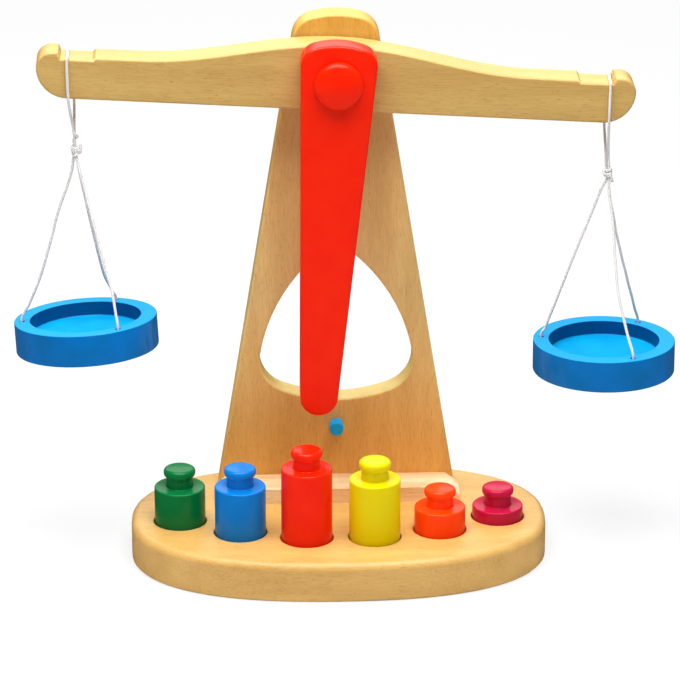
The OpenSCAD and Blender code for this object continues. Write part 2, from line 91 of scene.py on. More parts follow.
def emptyTree(owner):
    # The node tree of a material or of the world, with nothing in it yet
    owner.use_nodes = True
    owner.node_tree.nodes.clear()
    return owner.node_tree


def newMaterial(name):
    material = bpy.data.materials.new(name)
    tree = emptyTree(material)
    shader = addNode(tree, "BsdfPrincipled")
    addNode(tree, "OutputMaterial", {"Surface": shader.outputs["BSDF"]})
    return material, tree, shader


def newMesh(name, bm):
    mesh = bpy.data.meshes.new(name)
    bm.to_mesh(mesh)
    bm.free()
    return mesh


def shapedMesh(obj):
    # The object's mesh with its bevel curve or its modifiers worked in
    shaped = obj.evaluated_get(bpy.context.evaluated_depsgraph_get())
    return bpy.data.meshes.new_from_object(shaped)


def markSharpEdges(bm):
    for edge in bm.edges:
        edge.smooth = edge.calc_face_angle(0) < sharpAngle


def roundEdges(bm, edges, radius, segments):
    bmesh.ops.bevel(bm, geom=edges, offset=radius, offset_type="OFFSET", segments=segments,
                    profile=0.5, affect="EDGES", clamp_overlap=False, material=-1)


def finishPiece(name, bm, material, body, nodes):
    # Turns a bmesh into a smooth-shaded piece that rides on its body and stands for its nodes
    bmesh.ops.remove_doubles(bm, verts=bm.verts, dist=merge["piece"])
    for face in bm.faces:
        face.smooth = True
    markSharpEdges(bm)
    mesh = newMesh(name, bm)
    mesh.materials.append(material)
    obj = link(bpy.data.objects.new(name, mesh))
    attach(obj, body)
    if nodes:
        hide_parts(*nodes)
    return obj


# The camera stands where the photo was taken: far off, a little to the left and above
camera = {
    "azimuth": -2.16,  # degrees, as is the elevation
    "elevation": 21.1,
    "distance": 2.1692,  # metres
    "lens": 211.8,  # millimetres, as is the sensor
    "sensor": 36,
    "target": (0.0008, 0, 0.1238),
}


def placeCamera():
    turn, rise = math.radians(camera["azimuth"]), math.radians(camera["elevation"])
    back = Vector((math.sin(turn) * math.cos(rise), -math.cos(turn) * math.cos(rise),
                   math.sin(rise)))
    data = bpy.data.cameras.new("camera")
    data.lens, data.sensor_width = camera["lens"], camera["sensor"]
    obj = link(bpy.data.objects.new("camera", data))
    obj.location = Vector(camera["target"]) + camera["distance"] * back
    obj.rotation_euler = (-back).to_track_quat("-Z", "Y").to_euler()
    bpy.context.scene.camera = obj


placeCamera()
print("camera placed")

# White cotton cord, plaited round and 1.5 mm thick
cord = {
    "diameter": 1.5 * mm,
    "strands": 3,
    "crown": 1.03,  # how far out the strands stand, of the radius
    "groove": 0.03,  # how deep the grooves between the strands are, of the radius
    "lay": 4.2 * mm,  # length of one full twist
    "sides": 15,
    "step": 0.45 * mm,  # between the rings of a tube
    "inKnot": 0.3,  # where a cord starts, as a share of its way out of the knot
    "bends": {"loop": 3, "pan": 6, "knot": 8},  # points for each span of a route
}

cordRoutes = {  # in millimetres; the pan cords follow the lines that they take in the photo
    "left_loop": [
        (-140.8, 22, 230.8), (-141.1, 22, 238), (-143.3, 12.4, 257), (-143.7, 12.4, 278.8),
        (-143.6, 12.8, 280.5), (-143.4, 14.2, 281.2), (-143.4, 23, 281.2), (-143.4, 31.8, 281.2),
        (-143.4, 33.2, 280.5), (-143.2, 33.6, 278.8), (-141, 33.6, 257), (-140.9, 24, 238),
        (-140.8, 24, 230.8),
    ],
    "left_side_cord": [
        (-141.6, 23, 222.5), (-142.7, 22.9, 215.1), (-145.4, 22.8, 206.1), (-148.8, 22.7, 197),
        (-151.7, 22.5, 188), (-154, 22.4, 178.9), (-156.6, 22.3, 169.8), (-159.3, 22.2, 160.6),
        (-162.4, 22.1, 151.4), (-166.2, 22, 142.3), (-168.3, 21.9, 137.7), (-172, 21.8, 130.3),
        (-171.4, 20.9, 120.4),
    ],
    "left_front_cord": [
        (-140.2, 22.1, 222.5), (-138.1, 19.3, 214), (-135.6, 16.3, 204.8), (-132.5, 12.3, 192.5),
        (-130.1, 9.3, 183.2), (-127.5, 6.3, 174), (-125.9, 4.3, 167.8), (-124.4, 2.3, 161.6),
        (-123.3, 1.2, 158), (-122, -0.2, 153.7), (-121.3, -1.7, 149.3), (-120.2, -4, 142),
        (-119.2, -6.1, 135.7), (-118.6, -6.9, 125.8),
    ],
    "left_back_cord": [
        (-140.2, 23.9, 222.5), (-138.6, 27.6, 211.2), (-136.8, 31.5, 199.6), (-134.4, 36.5, 184),
        (-132.4, 40.3, 172.2), (-130.3, 44.1, 160.4), (-128.8, 46.7, 152.4), (-127.1, 49.2, 144.5),
        (-125.2, 50.7, 139.8), (-122.7, 52.6, 133.7), (-121.2, 53.6, 130.4), (-120.6, 52.8, 120.5),
    ],
    "right_loop": [
        (147.1, 22, 213.7), (146.5, 21.4, 221), (145.5, 12.4, 239.5), (145.9, 12.4, 261.7),
        (145.9, 12.8, 263.1), (145.9, 14.2, 263.8), (146.2, 23, 263.8), (146.6, 31.8, 263.8),
        (146.6, 33.2, 263.1), (146.5, 33.6, 261.7), (145, 33.6, 239.5), (145.5, 24.6, 221),
        (145.8, 24, 213.7),
    ],
    "right_side_cord": [
        (145.9, 23, 205.4), (143.1, 23.3, 199.9), (139.9, 23.9, 190.6), (136.6, 24.4, 181.2),
        (133.1, 25, 171.8), (128.2, 25.8, 157.7), (123.3, 26.6, 143.5), (120.1, 27.1, 134),
        (116.7, 27.7, 124.4), (114.7, 28, 118.4), (112.7, 28.2, 114.8), (112.7, 27.9, 104.9),
    ],
    "right_front_cord": [
        (147.4, 22.1, 205.4), (147.3, 19.8, 198.8), (148.2, 17.6, 192.6), (149, 15.5, 186.5),
        (149.6, 12.8, 178.8), (149.9, 10.1, 171.1), (150.3, 8, 165), (150.8, 5.8, 158.9),
        (151.2, 3.7, 152.7), (152, 1.5, 146.6), (153.3, -0.6, 140.4), (155.6, -4.1, 130.6),
        (157.1, -6.1, 124.7), (159.5, -9.2, 115.9), (159.5, -9.5, 105.9),
    ],
    "right_back_cord": [
        (147.4, 23.9, 205.4), (148.2, 26.5, 196.4), (149.7, 28.8, 188.7), (151.4, 31, 181),
        (153.3, 33.9, 171.3), (155.8, 36.7, 161.5), (157.7, 38.9, 153.7), (159.9, 41.2, 145.8),
        (161.9, 43.4, 137.9), (164.2, 45.7, 129.9), (166.2, 47.9, 122), (168.5, 50.1, 114.2),
        (168.5, 49.8, 104.2),
    ],
}


def smoothRoute(points, perSpan):
    # A smooth curve through the route's own points
    ends = [2 * points[0] - points[1], *points, 2 * points[-1] - points[-2]]
    route = []
    for a, b, c, d in zip(ends, ends[1:], ends[2:], ends[3:]):
        for i in range(perSpan):
            t = i / perSpan
            route.append(0.5 * (2 * b + (c - a) * t + (2 * a - 5 * b + 4 * c - d) * t * t
                                + (3 * b - 3 * c + d - a) * t ** 3))
    return [*route, points[-1]]


def routeLength(points):
    return sum((b - a).length for a, b in zip(points, points[1:]))


def evenly(points, step):
    # The same line, with a point every step
    count = max(2, round(routeLength(points) / step))
    spacing, even, run = routeLength(points) / count, [points[0]], 0
    for a, b in zip(points, points[1:]):
        span = (b - a).length
        while len(even) < count and len(even) * spacing <= run + span:
            even.append(a.lerp(b, (len(even) * spacing - run) / span))
        run += span
    return [*even, points[-1]]


def strandProfile():
    # The cord cut across: a round with a shallow groove between two strands
    curve = bpy.data.curves.new("strandProfile", "CURVE")
    spline = curve.splines.new("POLY")
    spline.points.add(cord["sides"] - 1)
    spline.use_cyclic_u = True
    for i, point in enumerate(spline.points):
        a = 2 * math.pi * i / cord["sides"]
        dip = (1 - math.cos(cord["strands"] * a)) / 2
        r = cord["diameter"] / 2 * (cord["crown"] - cord["groove"] * dip)
        point.co = (r * math.cos(a), r * math.sin(a), 0, 1)
    return link(bpy.data.objects.new("strandProfile", curve))


profile = strandProfile()


def sweepCord(lines):
    # A twisted tube along each line of points, all in one bmesh
    bm = bmesh.new()
    for line in lines:
        points = evenly(line, cord["step"])
        curve = bpy.data.curves.new("line", "CURVE")
        curve.dimensions = "3D"
        curve.bevel_mode, curve.bevel_object = "OBJECT", profile
        curve.use_fill_caps = True
        spline = curve.splines.new("POLY")
        spline.points.add(len(points) - 1)
        for i, (point, place) in enumerate(zip(spline.points, points)):
            point.co = (*place, 1)
            point.tilt = 2 * math.pi * i * cord["step"] / cord["lay"]
        tube = link(bpy.data.objects.new("line", curve))
        mesh = shapedMesh(tube)
        bm.from_mesh(mesh)
        bpy.data.objects.remove(tube)
        bpy.data.meshes.remove(mesh)
    bmesh.ops.remove_doubles(bm, verts=bm.verts, dist=merge["shape"])
    bmesh.ops.holes_fill(bm, edges=[e for e in bm.edges if e.is_boundary])
    bmesh.ops.recalc_face_normals(bm, faces=bm.faces)
    return bm


def cottonCord():
    # Plaited cotton cord, bleached: soft white, no shine, with fine fibres that catch the light
    material, tree, shader = newMaterial("plaitedCotton")
    place = addNode(tree, "TexCoord").outputs["Object"]
    fibre = addNode(tree, "TexNoise", {"Vector": place, "Scale": 1 / (0.35 * mm), "Detail": 2})
    soil = addNode(tree, "TexNoise", {"Vector": place, "Scale": 1 / (9 * mm), "Detail": 2})
    tone = addNode(tree, "ValToRGB", {"Fac": soil.outputs["Fac"]},
                   stops=[(0.3, "#dddbd9"), (0.7, "#e9e7e5")])
    bump = addNode(tree, "Bump", {"Height": fibre.outputs["Fac"], "Strength": 0.15,
                                  "Distance": 0.06 * mm})
    tree.links.new(tone.outputs["Color"], shader.inputs["Base Color"])
    tree.links.new(bump.outputs["Normal"], shader.inputs["Normal"])
    shader.inputs["Roughness"].default_value = 0.85
    shader.inputs["Sheen Weight"].default_value = 0.1
    shader.inputs["Specular IOR Level"].default_value = 0.2
    return material


cotton = cottonCord()

# In millimetres, with the second tie, the tail end and the hitch counted from the knot's centre.
# The hitch is the cord's end wound round the left loop above its knot.
knots = {
    "left": {
        "centre": (-140.7, 23, 226.64), "size": 2.35, "depth": 1.25, "turn": 25,
        "second": (0.5, -0.7, -0.9), "secondTurn": 12, "core": 2.1,
        "tail": [(0.6, -1.2, -2.4), (2.4, -2, -0.6), (3.3, -1.8, 1.6), (2.7, -1.4, 3.2)],
        "hitch": [(0.1, 0.2, 11.6), (-0.7, -0.9, 10.2), (0.5, -1.5, 8.8), (1.4, -0.3, 7.6),
                  (0.8, 1.2, 6.4), (-0.6, 0.9, 5.4), (-0.5, -0.7, 4)],
    },
    "right": {
        "centre": (146.9, 23, 209.49), "size": 2.3, "depth": 1.25, "turn": -30,
        "second": (-0.4, -0.7, 0.8), "secondTurn": 12, "core": 2.1,
        "tail": [(-0.6, -1.2, 1.2), (1.1, -2, -0.8), (1.9, -1.6, -3), (2.1, -1.3, -4.4)],
    },
}
stopKnot = {
    "size": 1.75, "depth": 0.9, "below": 2.4,  # millimetres under the end of its cord
    "turns": {"front": 0, "side": 70, "back": 150},
}


def overhand(centre, size, depth, turn, count=61):
    # The path of a tied overhand knot: a clover of three crossing bights
    place = Matrix.Translation(centre) @ rotation(turn, "Y")
    path = []
    for i in range(count):
        t = 2 * math.pi * (i + 0.5) / count
        path.append(place @ (mm * Vector((
            size * (math.sin(t) + 2 * math.sin(2 * t)) / 3,
            depth * math.sin(3 * t),
            size * (math.cos(t) - 2 * math.cos(2 * t)) / 3))))
    return path


def cottonPiece(name, lines, body, nodes):
    return finishPiece(name, sweepCord(lines), cotton, body, nodes)


def tieKnot(side):
    # Two ties one in the other, the tail end, and a core that closes the gaps between them
    knot = knots[side]
    size, depth, turn = knot["size"], knot["depth"], knot["turn"]
    centre = mm * Vector(knot["centre"])
    second = centre + mm * Vector(knot["second"])
    tail = [centre + mm * Vector(p) for p in knot["tail"]]
    tied = sweepCord([overhand(centre, size, depth, turn),
                      overhand(second, size, depth, turn + knot["secondTurn"]),
                      smoothRoute(tail, cord["bends"]["knot"])])
    bmesh.ops.create_uvsphere(tied, u_segments=24, v_segments=16, radius=knot["core"] * mm,
                              matrix=Matrix.Translation(centre))
    return finishPiece(f"{side}_tied_knot", tied, cotton, f"{side}_swivel",
                       [f"{side}_knot"])


def hangPan(side):
    # The loop, its knot and the three cords of one pan
    knot, tied = knots[side], tieKnot(side)
    middle = mm * Vector(knot["centre"])
    for name in [n for n in cordRoutes if n.startswith(side)]:
        part = name.split("_")[1]  # loop, side, front or back
        points = [mm * Vector(p) for p in cordRoutes[name]]
        points.insert(0, middle.lerp(points[0], cord["inKnot"]))
        if part == "loop":
            points.append(middle.lerp(points[-1], cord["inKnot"]))
            body, bends = f"{side}_hanger", cord["bends"]["loop"]
        else:
            body, bends = f"{side}_pan", cord["bends"]["pan"]
        route = smoothRoute(points, bends)
        obj = cottonPiece(f"{name}_cotton", [route], body, [name])
        if part == "loop":
            goesWith = [tied]
            if "hitch" in knot:
                hitch = [middle + mm * Vector(p) for p in knot["hitch"]]
                wound = smoothRoute(hitch, cord["bends"]["knot"])
                goesWith.append(cottonPiece(f"{side}_hitch", [wound], body, []))
        else:
            below = points[-1] - Vector((0, 0, stopKnot["below"] * mm))
            path = overhand(below, stopKnot["size"], stopKnot["depth"], stopKnot["turns"][part])
            goesWith = [cottonPiece(f"{name}_stop_knot", [path], body, [f"{side}_stop_knots"])]


for side in ("left", "right"):
    hangPan(side)
bpy.data.objects.remove(profile)
print("cords hung")

# Wood and paint


def grainPlace(tree, place, along, across, turn):
    # Object coordinates turned so that X runs with the grain, then stretched to the pattern's
    # real size along and across it, in millimetres
    aligned = addNode(tree, "Mapping", {"Vector": place, "Rotation": turn})
    scale = (1 / (along * mm), 1 / (across * mm), 1 / (across * mm))
    stretched = addNode(tree, "Mapping", {"Vector": aligned.outputs["Vector"], "Scale": scale})
    return stretched.outputs["Vector"]


def rubberwood(name, look):
    # Rubberwood, planed, sanded and sprayed with clear satin lacquer: pale and warm, with soft
    # bands, fine fibres and short dark pores that run with the grain and show as dots on the end
    # grain
    material, tree, shader = newMaterial(name)
    place = addNode(tree, "TexCoord").outputs["Object"]
    # The grain sways to and fro
    sway = addNode(tree, "TexNoise", {"Vector": place, "Scale": 1 / (look["swayMm"] * mm),
                                      "Detail": 1})
    centred = addNode(tree, "VectorMath", {0: sway.outputs["Color"], 1: (0.5, 0.5, 0.5)},
                      operation="SUBTRACT")
    pushed = addNode(tree, "VectorMath", {0: centred.outputs["Vector"],
                                          "Scale": look["swayBy"] * mm}, operation="SCALE")
    bent = addNode(tree, "VectorMath", {0: place, 1: pushed.outputs["Vector"]}, operation="ADD")
    turn = [math.radians(a) for a in look["turn"]]
    layers = {}
    for layer, (along, across, detail) in look["layers"].items():
        spot = grainPlace(tree, bent.outputs["Vector"], along, across, turn)
        layers[layer] = addNode(tree, "TexNoise", {"Vector": spot, "Scale": 1,
                                                   "Detail": detail}).outputs["Fac"]
    # The tone changes from the table up, and the bands and the fibres darken it
    height = addNode(tree, "SeparateXYZ", {"Vector": place}).outputs["Z"]
    rise = addNode(tree, "Math", {0: height, 1: 1 / (look["toneHeight"] * mm)},
                   operation="MULTIPLY")
    tone = addNode(tree, "ValToRGB", {"Fac": rise.outputs["Value"]}, stops=look["tones"])
    bandTone = addNode(tree, "ValToRGB", {"Fac": layers["bands"]}, stops=look["bands"])
    bands = addNode(tree, "Mix", {0: 1.0, 6: tone.outputs["Color"], 7: bandTone.outputs["Color"]},
                    data_type="RGBA", blend_type="MULTIPLY")
    fibres = addNode(tree, "ValToRGB", {"Fac": layers["fibres"]}, stops=look["fibres"])
    fibred = addNode(tree, "Mix", {0: look["fibreShare"], 6: bands.outputs[2],
                                   7: fibres.outputs["Color"]},
                     data_type="RGBA", blend_type="MULTIPLY")
    pores = addNode(tree, "MapRange", {"Value": layers["pores"], "From Min": look["poreFrom"],
                                       "From Max": look["poreFrom"] + look["poreBlend"],
                                       "To Max": look["poreShare"]})
    colour = addNode(tree, "Mix", {0: pores.outputs["Result"], 6: fibred.outputs[2],
                                   7: linear(look["pore"])}, data_type="RGBA")
    # The lacquer dips over the pores, and shines a little more on the darker bands
    dip = addNode(tree, "Math", {0: layers["fibres"], 1: pores.outputs["Result"]},
                  operation="SUBTRACT")
    bump = addNode(tree, "Bump", {"Height": dip.outputs["Value"], "Strength": 0.35,
                                  "Distance": 0.05 * mm})
    gloss = addNode(tree, "MapRange", {"Value": layers["bands"], "To Min": look["roughness"][0],
                                       "To Max": look["roughness"][1]})
    tree.links.new(colour.outputs[2], shader.inputs["Base Color"])
    tree.links.new(gloss.outputs["Result"], shader.inputs["Roughness"])
    tree.links.new(bump.outputs["Normal"], shader.inputs["Normal"])
    shader.inputs["Specular IOR Level"].default_value = look["specular"]
    return material


paleWood = {
    "tones": [(0, "#d0ac63"), (1, "#d0ac63")], "toneHeight": 300,  # millimetres above the table
    "bands": [(0.3, "#eee6da"), (0.7, "#ffffff")],
    "fibres": [(0.32, "#cdb78c"), (0.62, "#ffffff")], "fibreShare": 0.26,
    "pore": "#985c28", "poreShare": 0.42, "poreFrom": 0.645, "poreBlend": 0.07,
    "swayMm": 90, "swayBy": 9, "turn": (0, 0, 0),
    # millimetres along and across the grain, and detail
    "layers": {"bands": (120, 12, 3), "fibres": (9, 0.6, 2), "pores": (3.8, 0.45, 1)},
    "roughness": (0.37, 0.48), "specular": 0.42,
}
# The grain of the beam runs along its slope
beamWood = rubberwood("beamRubberwood", {**paleWood, "turn": (0, -3.4, 0)})
# The base and the foot's strip are cut from a redder and a paler board
baseWood = rubberwood("baseRubberwood", {**paleWood, "tones": [(0, "#e2b668"), (1, "#e2b668")]})
stripWood = rubberwood("stripRubberwood", {
    **paleWood, "tones": [(0, "#fcecc2"), (1, "#fcecc2")],
    "bands": [(0.35, "#f4d6bc"), (0.65, "#ffffff")], "pore": "#b07850"})
# The tower's grain stands upright, and the walls of its window are painted brighter, as painted
# light
towerWood = rubberwood("towerRubberwood", {
    **paleWood, "turn": (0, 90, 0), "poreShare": 0.34,
    # Painted light and shade: the tone is lighter and darker by height, set to how the light falls
    # on each part of the tower
    "tones": [(0.1, "#f5b95c"), (0.45, "#e3c37d"), (0.85, "#f6c171"), (0.97, "#dcb053")]})
# Painted light: a brighter wood for the window's walls, as if lit
windowPaintedLightWood = rubberwood("windowPaintedLightRubberwood", {
    **paleWood, "turn": (0, 90, 0), "poreShare": 0.2,
    "tones": [(0, "#f0dc86"), (1, "#f0dc86")]})

enamel = {
    "vary": 0.12,  # how far the second colour comes through
    "cloudMm": 14, "grainMm": (7, 0.7), "grain": 0.14, "roughness": (0.3, 0.44),
    "specular": 0.05, "coat": 0.28, "coatRoughness": 0.14,
}


def satinPaint(name, colours, look=None):
    # Water-based satin enamel, dipped on turned wood: an even, strong colour with a soft shine,
    # through which the grain just shows, and whose tone drifts a little where it is thin
    look = {**enamel, **(look or {})}
    material, tree, shader = newMaterial(name)
    place = addNode(tree, "TexCoord").outputs["Object"]
    cloud = addNode(tree, "TexNoise", {"Vector": place, "Scale": 1 / (look["cloudMm"] * mm),
                                       "Detail": 3})
    share = addNode(tree, "MapRange", {"Value": cloud.outputs["Fac"], "From Min": 0.35,
                                       "From Max": 0.7, "To Max": look["vary"]})
    colour = addNode(tree, "Mix", {0: share.outputs["Result"], 6: linear(colours[0]),
                                   7: linear(colours[1])}, data_type="RGBA")
    spot = grainPlace(tree, place, *look["grainMm"], (0, math.radians(90), 0))
    fibres = addNode(tree, "TexNoise", {"Vector": spot, "Scale": 1, "Detail": 2})
    bump = addNode(tree, "Bump", {"Height": fibres.outputs["Fac"], "Strength": look["grain"],
                                  "Distance": 0.05 * mm})
    gloss = addNode(tree, "MapRange", {"Value": cloud.outputs["Fac"],
                                       "To Min": look["roughness"][0],
                                       "To Max": look["roughness"][1]})
    tree.links.new(colour.outputs[2], shader.inputs["Base Color"])
    tree.links.new(gloss.outputs["Result"], shader.inputs["Roughness"])
    tree.links.new(bump.outputs["Normal"], shader.inputs["Normal"])
    shader.inputs["Specular IOR Level"].default_value = look["specular"]
    shader.inputs["Coat Weight"].default_value = look["coat"]
    shader.inputs["Coat Roughness"].default_value = look["coatRoughness"]
    return material


paints = {
    "red": satinPaint("redEnamel", ("#f01c00", "#fc4608")),
    "blue": satinPaint("blueEnamel", ("#0074c8", "#148ad8")),
    "green": satinPaint("greenEnamel", ("#006e34", "#1c8648")),
    "yellow": satinPaint("yellowEnamel", ("#decc00", "#ead820"), {"coat": 0.16}),
    "orange": satinPaint("orangeEnamel", ("#ff3d00", "#ff6420")),
    "magenta": satinPaint("magentaEnamel", ("#bc123c", "#c8325e")),
    "peg": satinPaint("pegEnamel", ("#0cacf0", "#30b8f4")),
    "dishSide": satinPaint("dishEnamel", ("#006cba", "#005f86"), {"vary": 0.5}),
    # Painted light and shade: the rim and the hollow's floor are painted lighter where they face
    # up, and the hollow's wall darker
    "dishRimPaintedLight": satinPaint("dishRimPaintedLightEnamel", ("#1c94d0", "#309cd8"),
                          {"vary": 0.3, "roughness": (0.54, 0.68), "coat": 0}),
    "dishWallPaintedShade": satinPaint("dishWallPaintedShadeEnamel", ("#004a86", "#00527c"), {"vary": 0.5}),
    "dishFloorPaintedLight": satinPaint("dishFloorPaintedLightEnamel", ("#0090d0", "#00a2ce"),
                            {"vary": 0.7, "roughness": (0.69, 0.83), "coat": 0}),
}


def zincSteel():
    # Steel screws and washer, zinc plated: a cool grey metal with a faint bloom
    material, tree, shader = newMaterial("zincPlatedSteel")
    place = addNode(tree, "TexCoord").outputs["Object"]
    bloom = addNode(tree, "TexNoise", {"Vector": place, "Scale": 1 / (1.5 * mm), "Detail": 4})
    gloss = addNode(tree, "MapRange", {"Value": bloom.outputs["Fac"], "To Min": 0.28,
                                       "To Max": 0.48})
    tree.links.new(gloss.outputs["Result"], shader.inputs["Roughness"])
    shader.inputs["Base Color"].default_value = linear("#aeb1b5")
    shader.inputs["Metallic"].default_value = 1
    return material


steel = zincSteel()
print("finishes mixed")

# Boards: the solids' own outlines, with their eased edges


def mergedCopy(node):
    bm = bmesh.new()
    bm.from_mesh(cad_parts[node].data)
    bmesh.ops.remove_doubles(bm, verts=bm.verts, dist=merge["solid"])
    return bm


def refillFlats(bm, levels):
    # Fills the flat front and back again from their outlines, with triangles that don't overlap
    for level in levels:
        flat = [f for f in bm.faces if all(abs(v.co.y - level) < onPlane for v in f.verts)]
        bmesh.ops.delete(bm, geom=flat, context="FACES_ONLY")
        bmesh.ops.delete(bm, geom=[e for e in bm.edges if e.is_wire], context="EDGES")
        outline = [e for e in bm.edges if e.is_boundary]
        bmesh.ops.triangle_fill(bm, use_beauty=True, edges=outline)
    bmesh.ops.recalc_face_normals(bm, faces=bm.faces)


def easeHoleRims(bm, rim, height):
    # Breaks the sharp rims of the holes in a flat top
    bmesh.ops.dissolve_limit(bm, angle_limit=math.radians(rim["flat"]), verts=bm.verts,
                             edges=bm.edges)
    rims = [e for e in bm.edges if e.calc_face_angle(0) > math.radians(rim["sharp"])
            and all(abs(v.co.z - height) < onPlane for v in e.verts)]
    roundEdges(bm, rims, rim["round"] * mm, rim["segments"])


def paintWindowLight(piece, window):
    # The walls of the window, which face its middle and not the front or back, get a brighter
    # wood: painted light
    piece.data.materials.append(windowPaintedLightWood)
    for face in piece.data.polygons:
        inward = Vector(window["middle"]) - face.center
        if abs(face.normal.y) < window["lean"] and inward.dot(face.normal) > 0:
            face.material_index = 1


boards = {
    # faces within flat degrees become one, and edges over sharp degrees are a rim
    "base": {"material": baseWood, "slot": "natural_wood", "body": "stand",
             "holeRims": {"round": 0.6, "segments": 3, "flat": 0.5, "sharp": 55}},
    "tower": {"material": towerWood, "slot": "tower_wood", "body": "stand",
              "window": {"middle": (0, 0.03, 0.12), "lean": 0.8}},
    "foot_strip": {"material": stripWood, "slot": "natural_wood", "body": "stand"},
    "balance_beam": {"material": beamWood, "slot": "natural_wood", "body": "beam",
                     "refill": True},
    "pointer": {"material": paints["red"], "slot": "red_paint", "body": "beam"},
}
for name, board in boards.items():
    low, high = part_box(name)
    bm = mergedCopy(name)
    if "refill" in board:
        refillFlats(bm, (low.y, high.y))
    if "holeRims" in board:
        easeHoleRims(bm, board["holeRims"], high.z)
    piece = finishPiece(f"{name}_board", bm, board["material"], board["body"],
                        [name])
    piece.modifiers.new("flatFaces", "WEIGHTED_NORMAL").keep_sharp = True
    if "window" in board:
        paintWindowLight(piece, board["window"])
print("boards sanded")

# Turned pieces: a profile spun about its axis, with each corner rounded by its own radius


def turned(corners, place, steps=96, segments=6):
    # A corner is its radius, its height and the radius of its rounding, all in millimetres
    bm = bmesh.new()
    verts = [bm.verts.new((r * mm, 0, z * mm)) for r, z, _ in corners]
    for a, b in zip(verts, verts[1:]):
        bm.edges.new((a, b))
    bmesh.ops.spin(bm, geom=bm.verts[:] + bm.edges[:], axis=(0, 0, 1), cent=(0, 0, 0),
                   dvec=(0, 0, 0), angle=2 * math.pi, steps=steps, use_merge=True,
                   use_duplicate=False)
    bmesh.ops.remove_doubles(bm, verts=bm.verts, dist=merge["shape"])
    bmesh.ops.recalc_face_normals(bm, faces=bm.faces)
    for r, z, rounding in corners:
        if rounding:
            ring = [e for e in bm.edges if all(
                abs(v.co.z - z * mm) < merge["shape"]
                and abs(v.co.xy.length - r * mm) < merge["shape"] for v in e.verts)]
            roundEdges(bm, ring, rounding * mm, segments)
    bmesh.ops.transform(bm, matrix=place, verts=bm.verts)
    return bm


def arc(centre, across, high, start, end, steps=7):
    # Points of an arc in a profile, from one angle to another in degrees
    angles = [math.radians(start + (end - start) * i / steps) for i in range(steps + 1)]
    return [(centre[0] + across * math.cos(a), centre[1] + high * math.sin(a), 0) for a in angles]


weight = {
    "bodyD": 27.8, "edge": 0.9, "neckD": 14.6, "neckH": 6, "cove": 0.7,
    "knobD": 17.4, "knobH": 4.8, "knobRound": 2.1, "knobBand": 0.4,
}
bodyR, neckR, knobR = weight["bodyD"] / 2, weight["neckD"] / 2, weight["knobD"] / 2
edge, cove, crown, band = (weight[part] for part in ("edge", "cove", "knobRound", "knobBand"))
for colour in ("green", "blue", "red", "yellow", "orange", "magenta"):
    low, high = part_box(f"{colour}_weight")
    tall = (high.z - low.z) / mm
    shoulder = tall - weight["neckH"] - weight["knobH"]
    corners = [
        (0, 0, 0), (bodyR, 0, edge), (bodyR, shoulder, edge),
        *arc((neckR + cove, shoulder + cove), cove, cove, 270, 180),
        *arc((neckR, tall - crown - band), knobR - neckR, weight["knobH"] - crown - band, -90, 0),
        *arc((knobR - crown, tall - crown), crown, crown, 0, 90), (0, tall, 0),
    ]
    middle = (low + high) / 2
    bm = turned(corners, Matrix.Translation((middle.x, middle.y, low.z)))
    finishPiece(f"{colour}_turned_weight", bm, paints[colour], f"{colour}_body",
                [f"{colour}_weight"])
print("weights turned")


def facingFront(low, high, seat):
    # Lays a peg down in the middle of its box, pointing to the front from its seat
    middle = Matrix.Translation(((low.x + high.x) / 2, seat, (low.z + high.z) / 2))
    return middle @ rotation(90, "X")


axle = {
    "shankD": 10, "shankEdge": 0.6, "headD": 26, "headH": 6.5, "headEdge": 0.5,
    "round": 3.2, "slope": 15,  # the dome's rounding, and its slope where that begins, in degrees
}
low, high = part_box("axle_peg")
shankR, shank = axle["shankD"] / 2, (high.y - low.y) / mm - axle["headH"]
headR, headH, rounding = axle["headD"] / 2, axle["headH"], axle["round"]
slope, meet = math.radians(axle["slope"]), 90 - axle["slope"]
domeR = (headR - rounding * (1 - math.sin(slope))) / math.sin(slope)
edgeH = headH - domeR * (1 - math.cos(slope)) - rounding * math.cos(slope)
corners = [
    (0, -shank, 0), (shankR, -shank, axle["shankEdge"]), (shankR, 0, 0),
    (headR, 0, axle["headEdge"]),
    *arc((headR - rounding, edgeH), rounding, rounding, 0, meet),
    *arc((0, headH - domeR), domeR, domeR, meet, 90)[1:],
]
bm = turned(corners, facingFront(low, high, low.y + headH * mm))
finishPiece("axle_peg_turned", bm, paints["red"], "stand", ["axle_peg"])

markerPeg = {"backEdge": 0.4, "frontEdge": 0.9, "steps": 64}
low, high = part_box("marker_peg")
pegR, pegH = (high.x - low.x) / 2 / mm, (high.y - low.y) / mm
corners = [(0, 0, 0), (pegR, 0, markerPeg["backEdge"]), (pegR, pegH, markerPeg["frontEdge"]),
           (0, pegH, 0)]
bm = turned(corners, facingFront(low, high, high.y), markerPeg["steps"])
finishPiece("marker_peg_turned", bm, paints["peg"], "stand", ["marker_peg"])
print("pegs turned")

dish = {
    "outerD": 78, "hollowD": 60.5, "high": 17.5, "hollow": 8, "edge": 1, "rimEdge": 0.6,
    "steps": 128, "holeAngles": (180, -60, 60), "holeD": 3, "holeSides": 32,
    "counterboreD": 6.2, "counterbore": 9, "counterboreSides": 48, "overrun": 2,
    # how each hangs: front up, left side down and turned clockwise from above, in degrees
    "hang": {"left": (5, 3.2, -2.2), "right": (1.6, 0, 8.6)},
    # where the painted light and painted shade meet: how squarely the rim and the floor look up,
    # how far below the top the rim ends, and how far past its own corners the wall's painted shade
    # reaches
    "upward": 0.7, "rimDepth": 2, "overlap": 0.1,
}


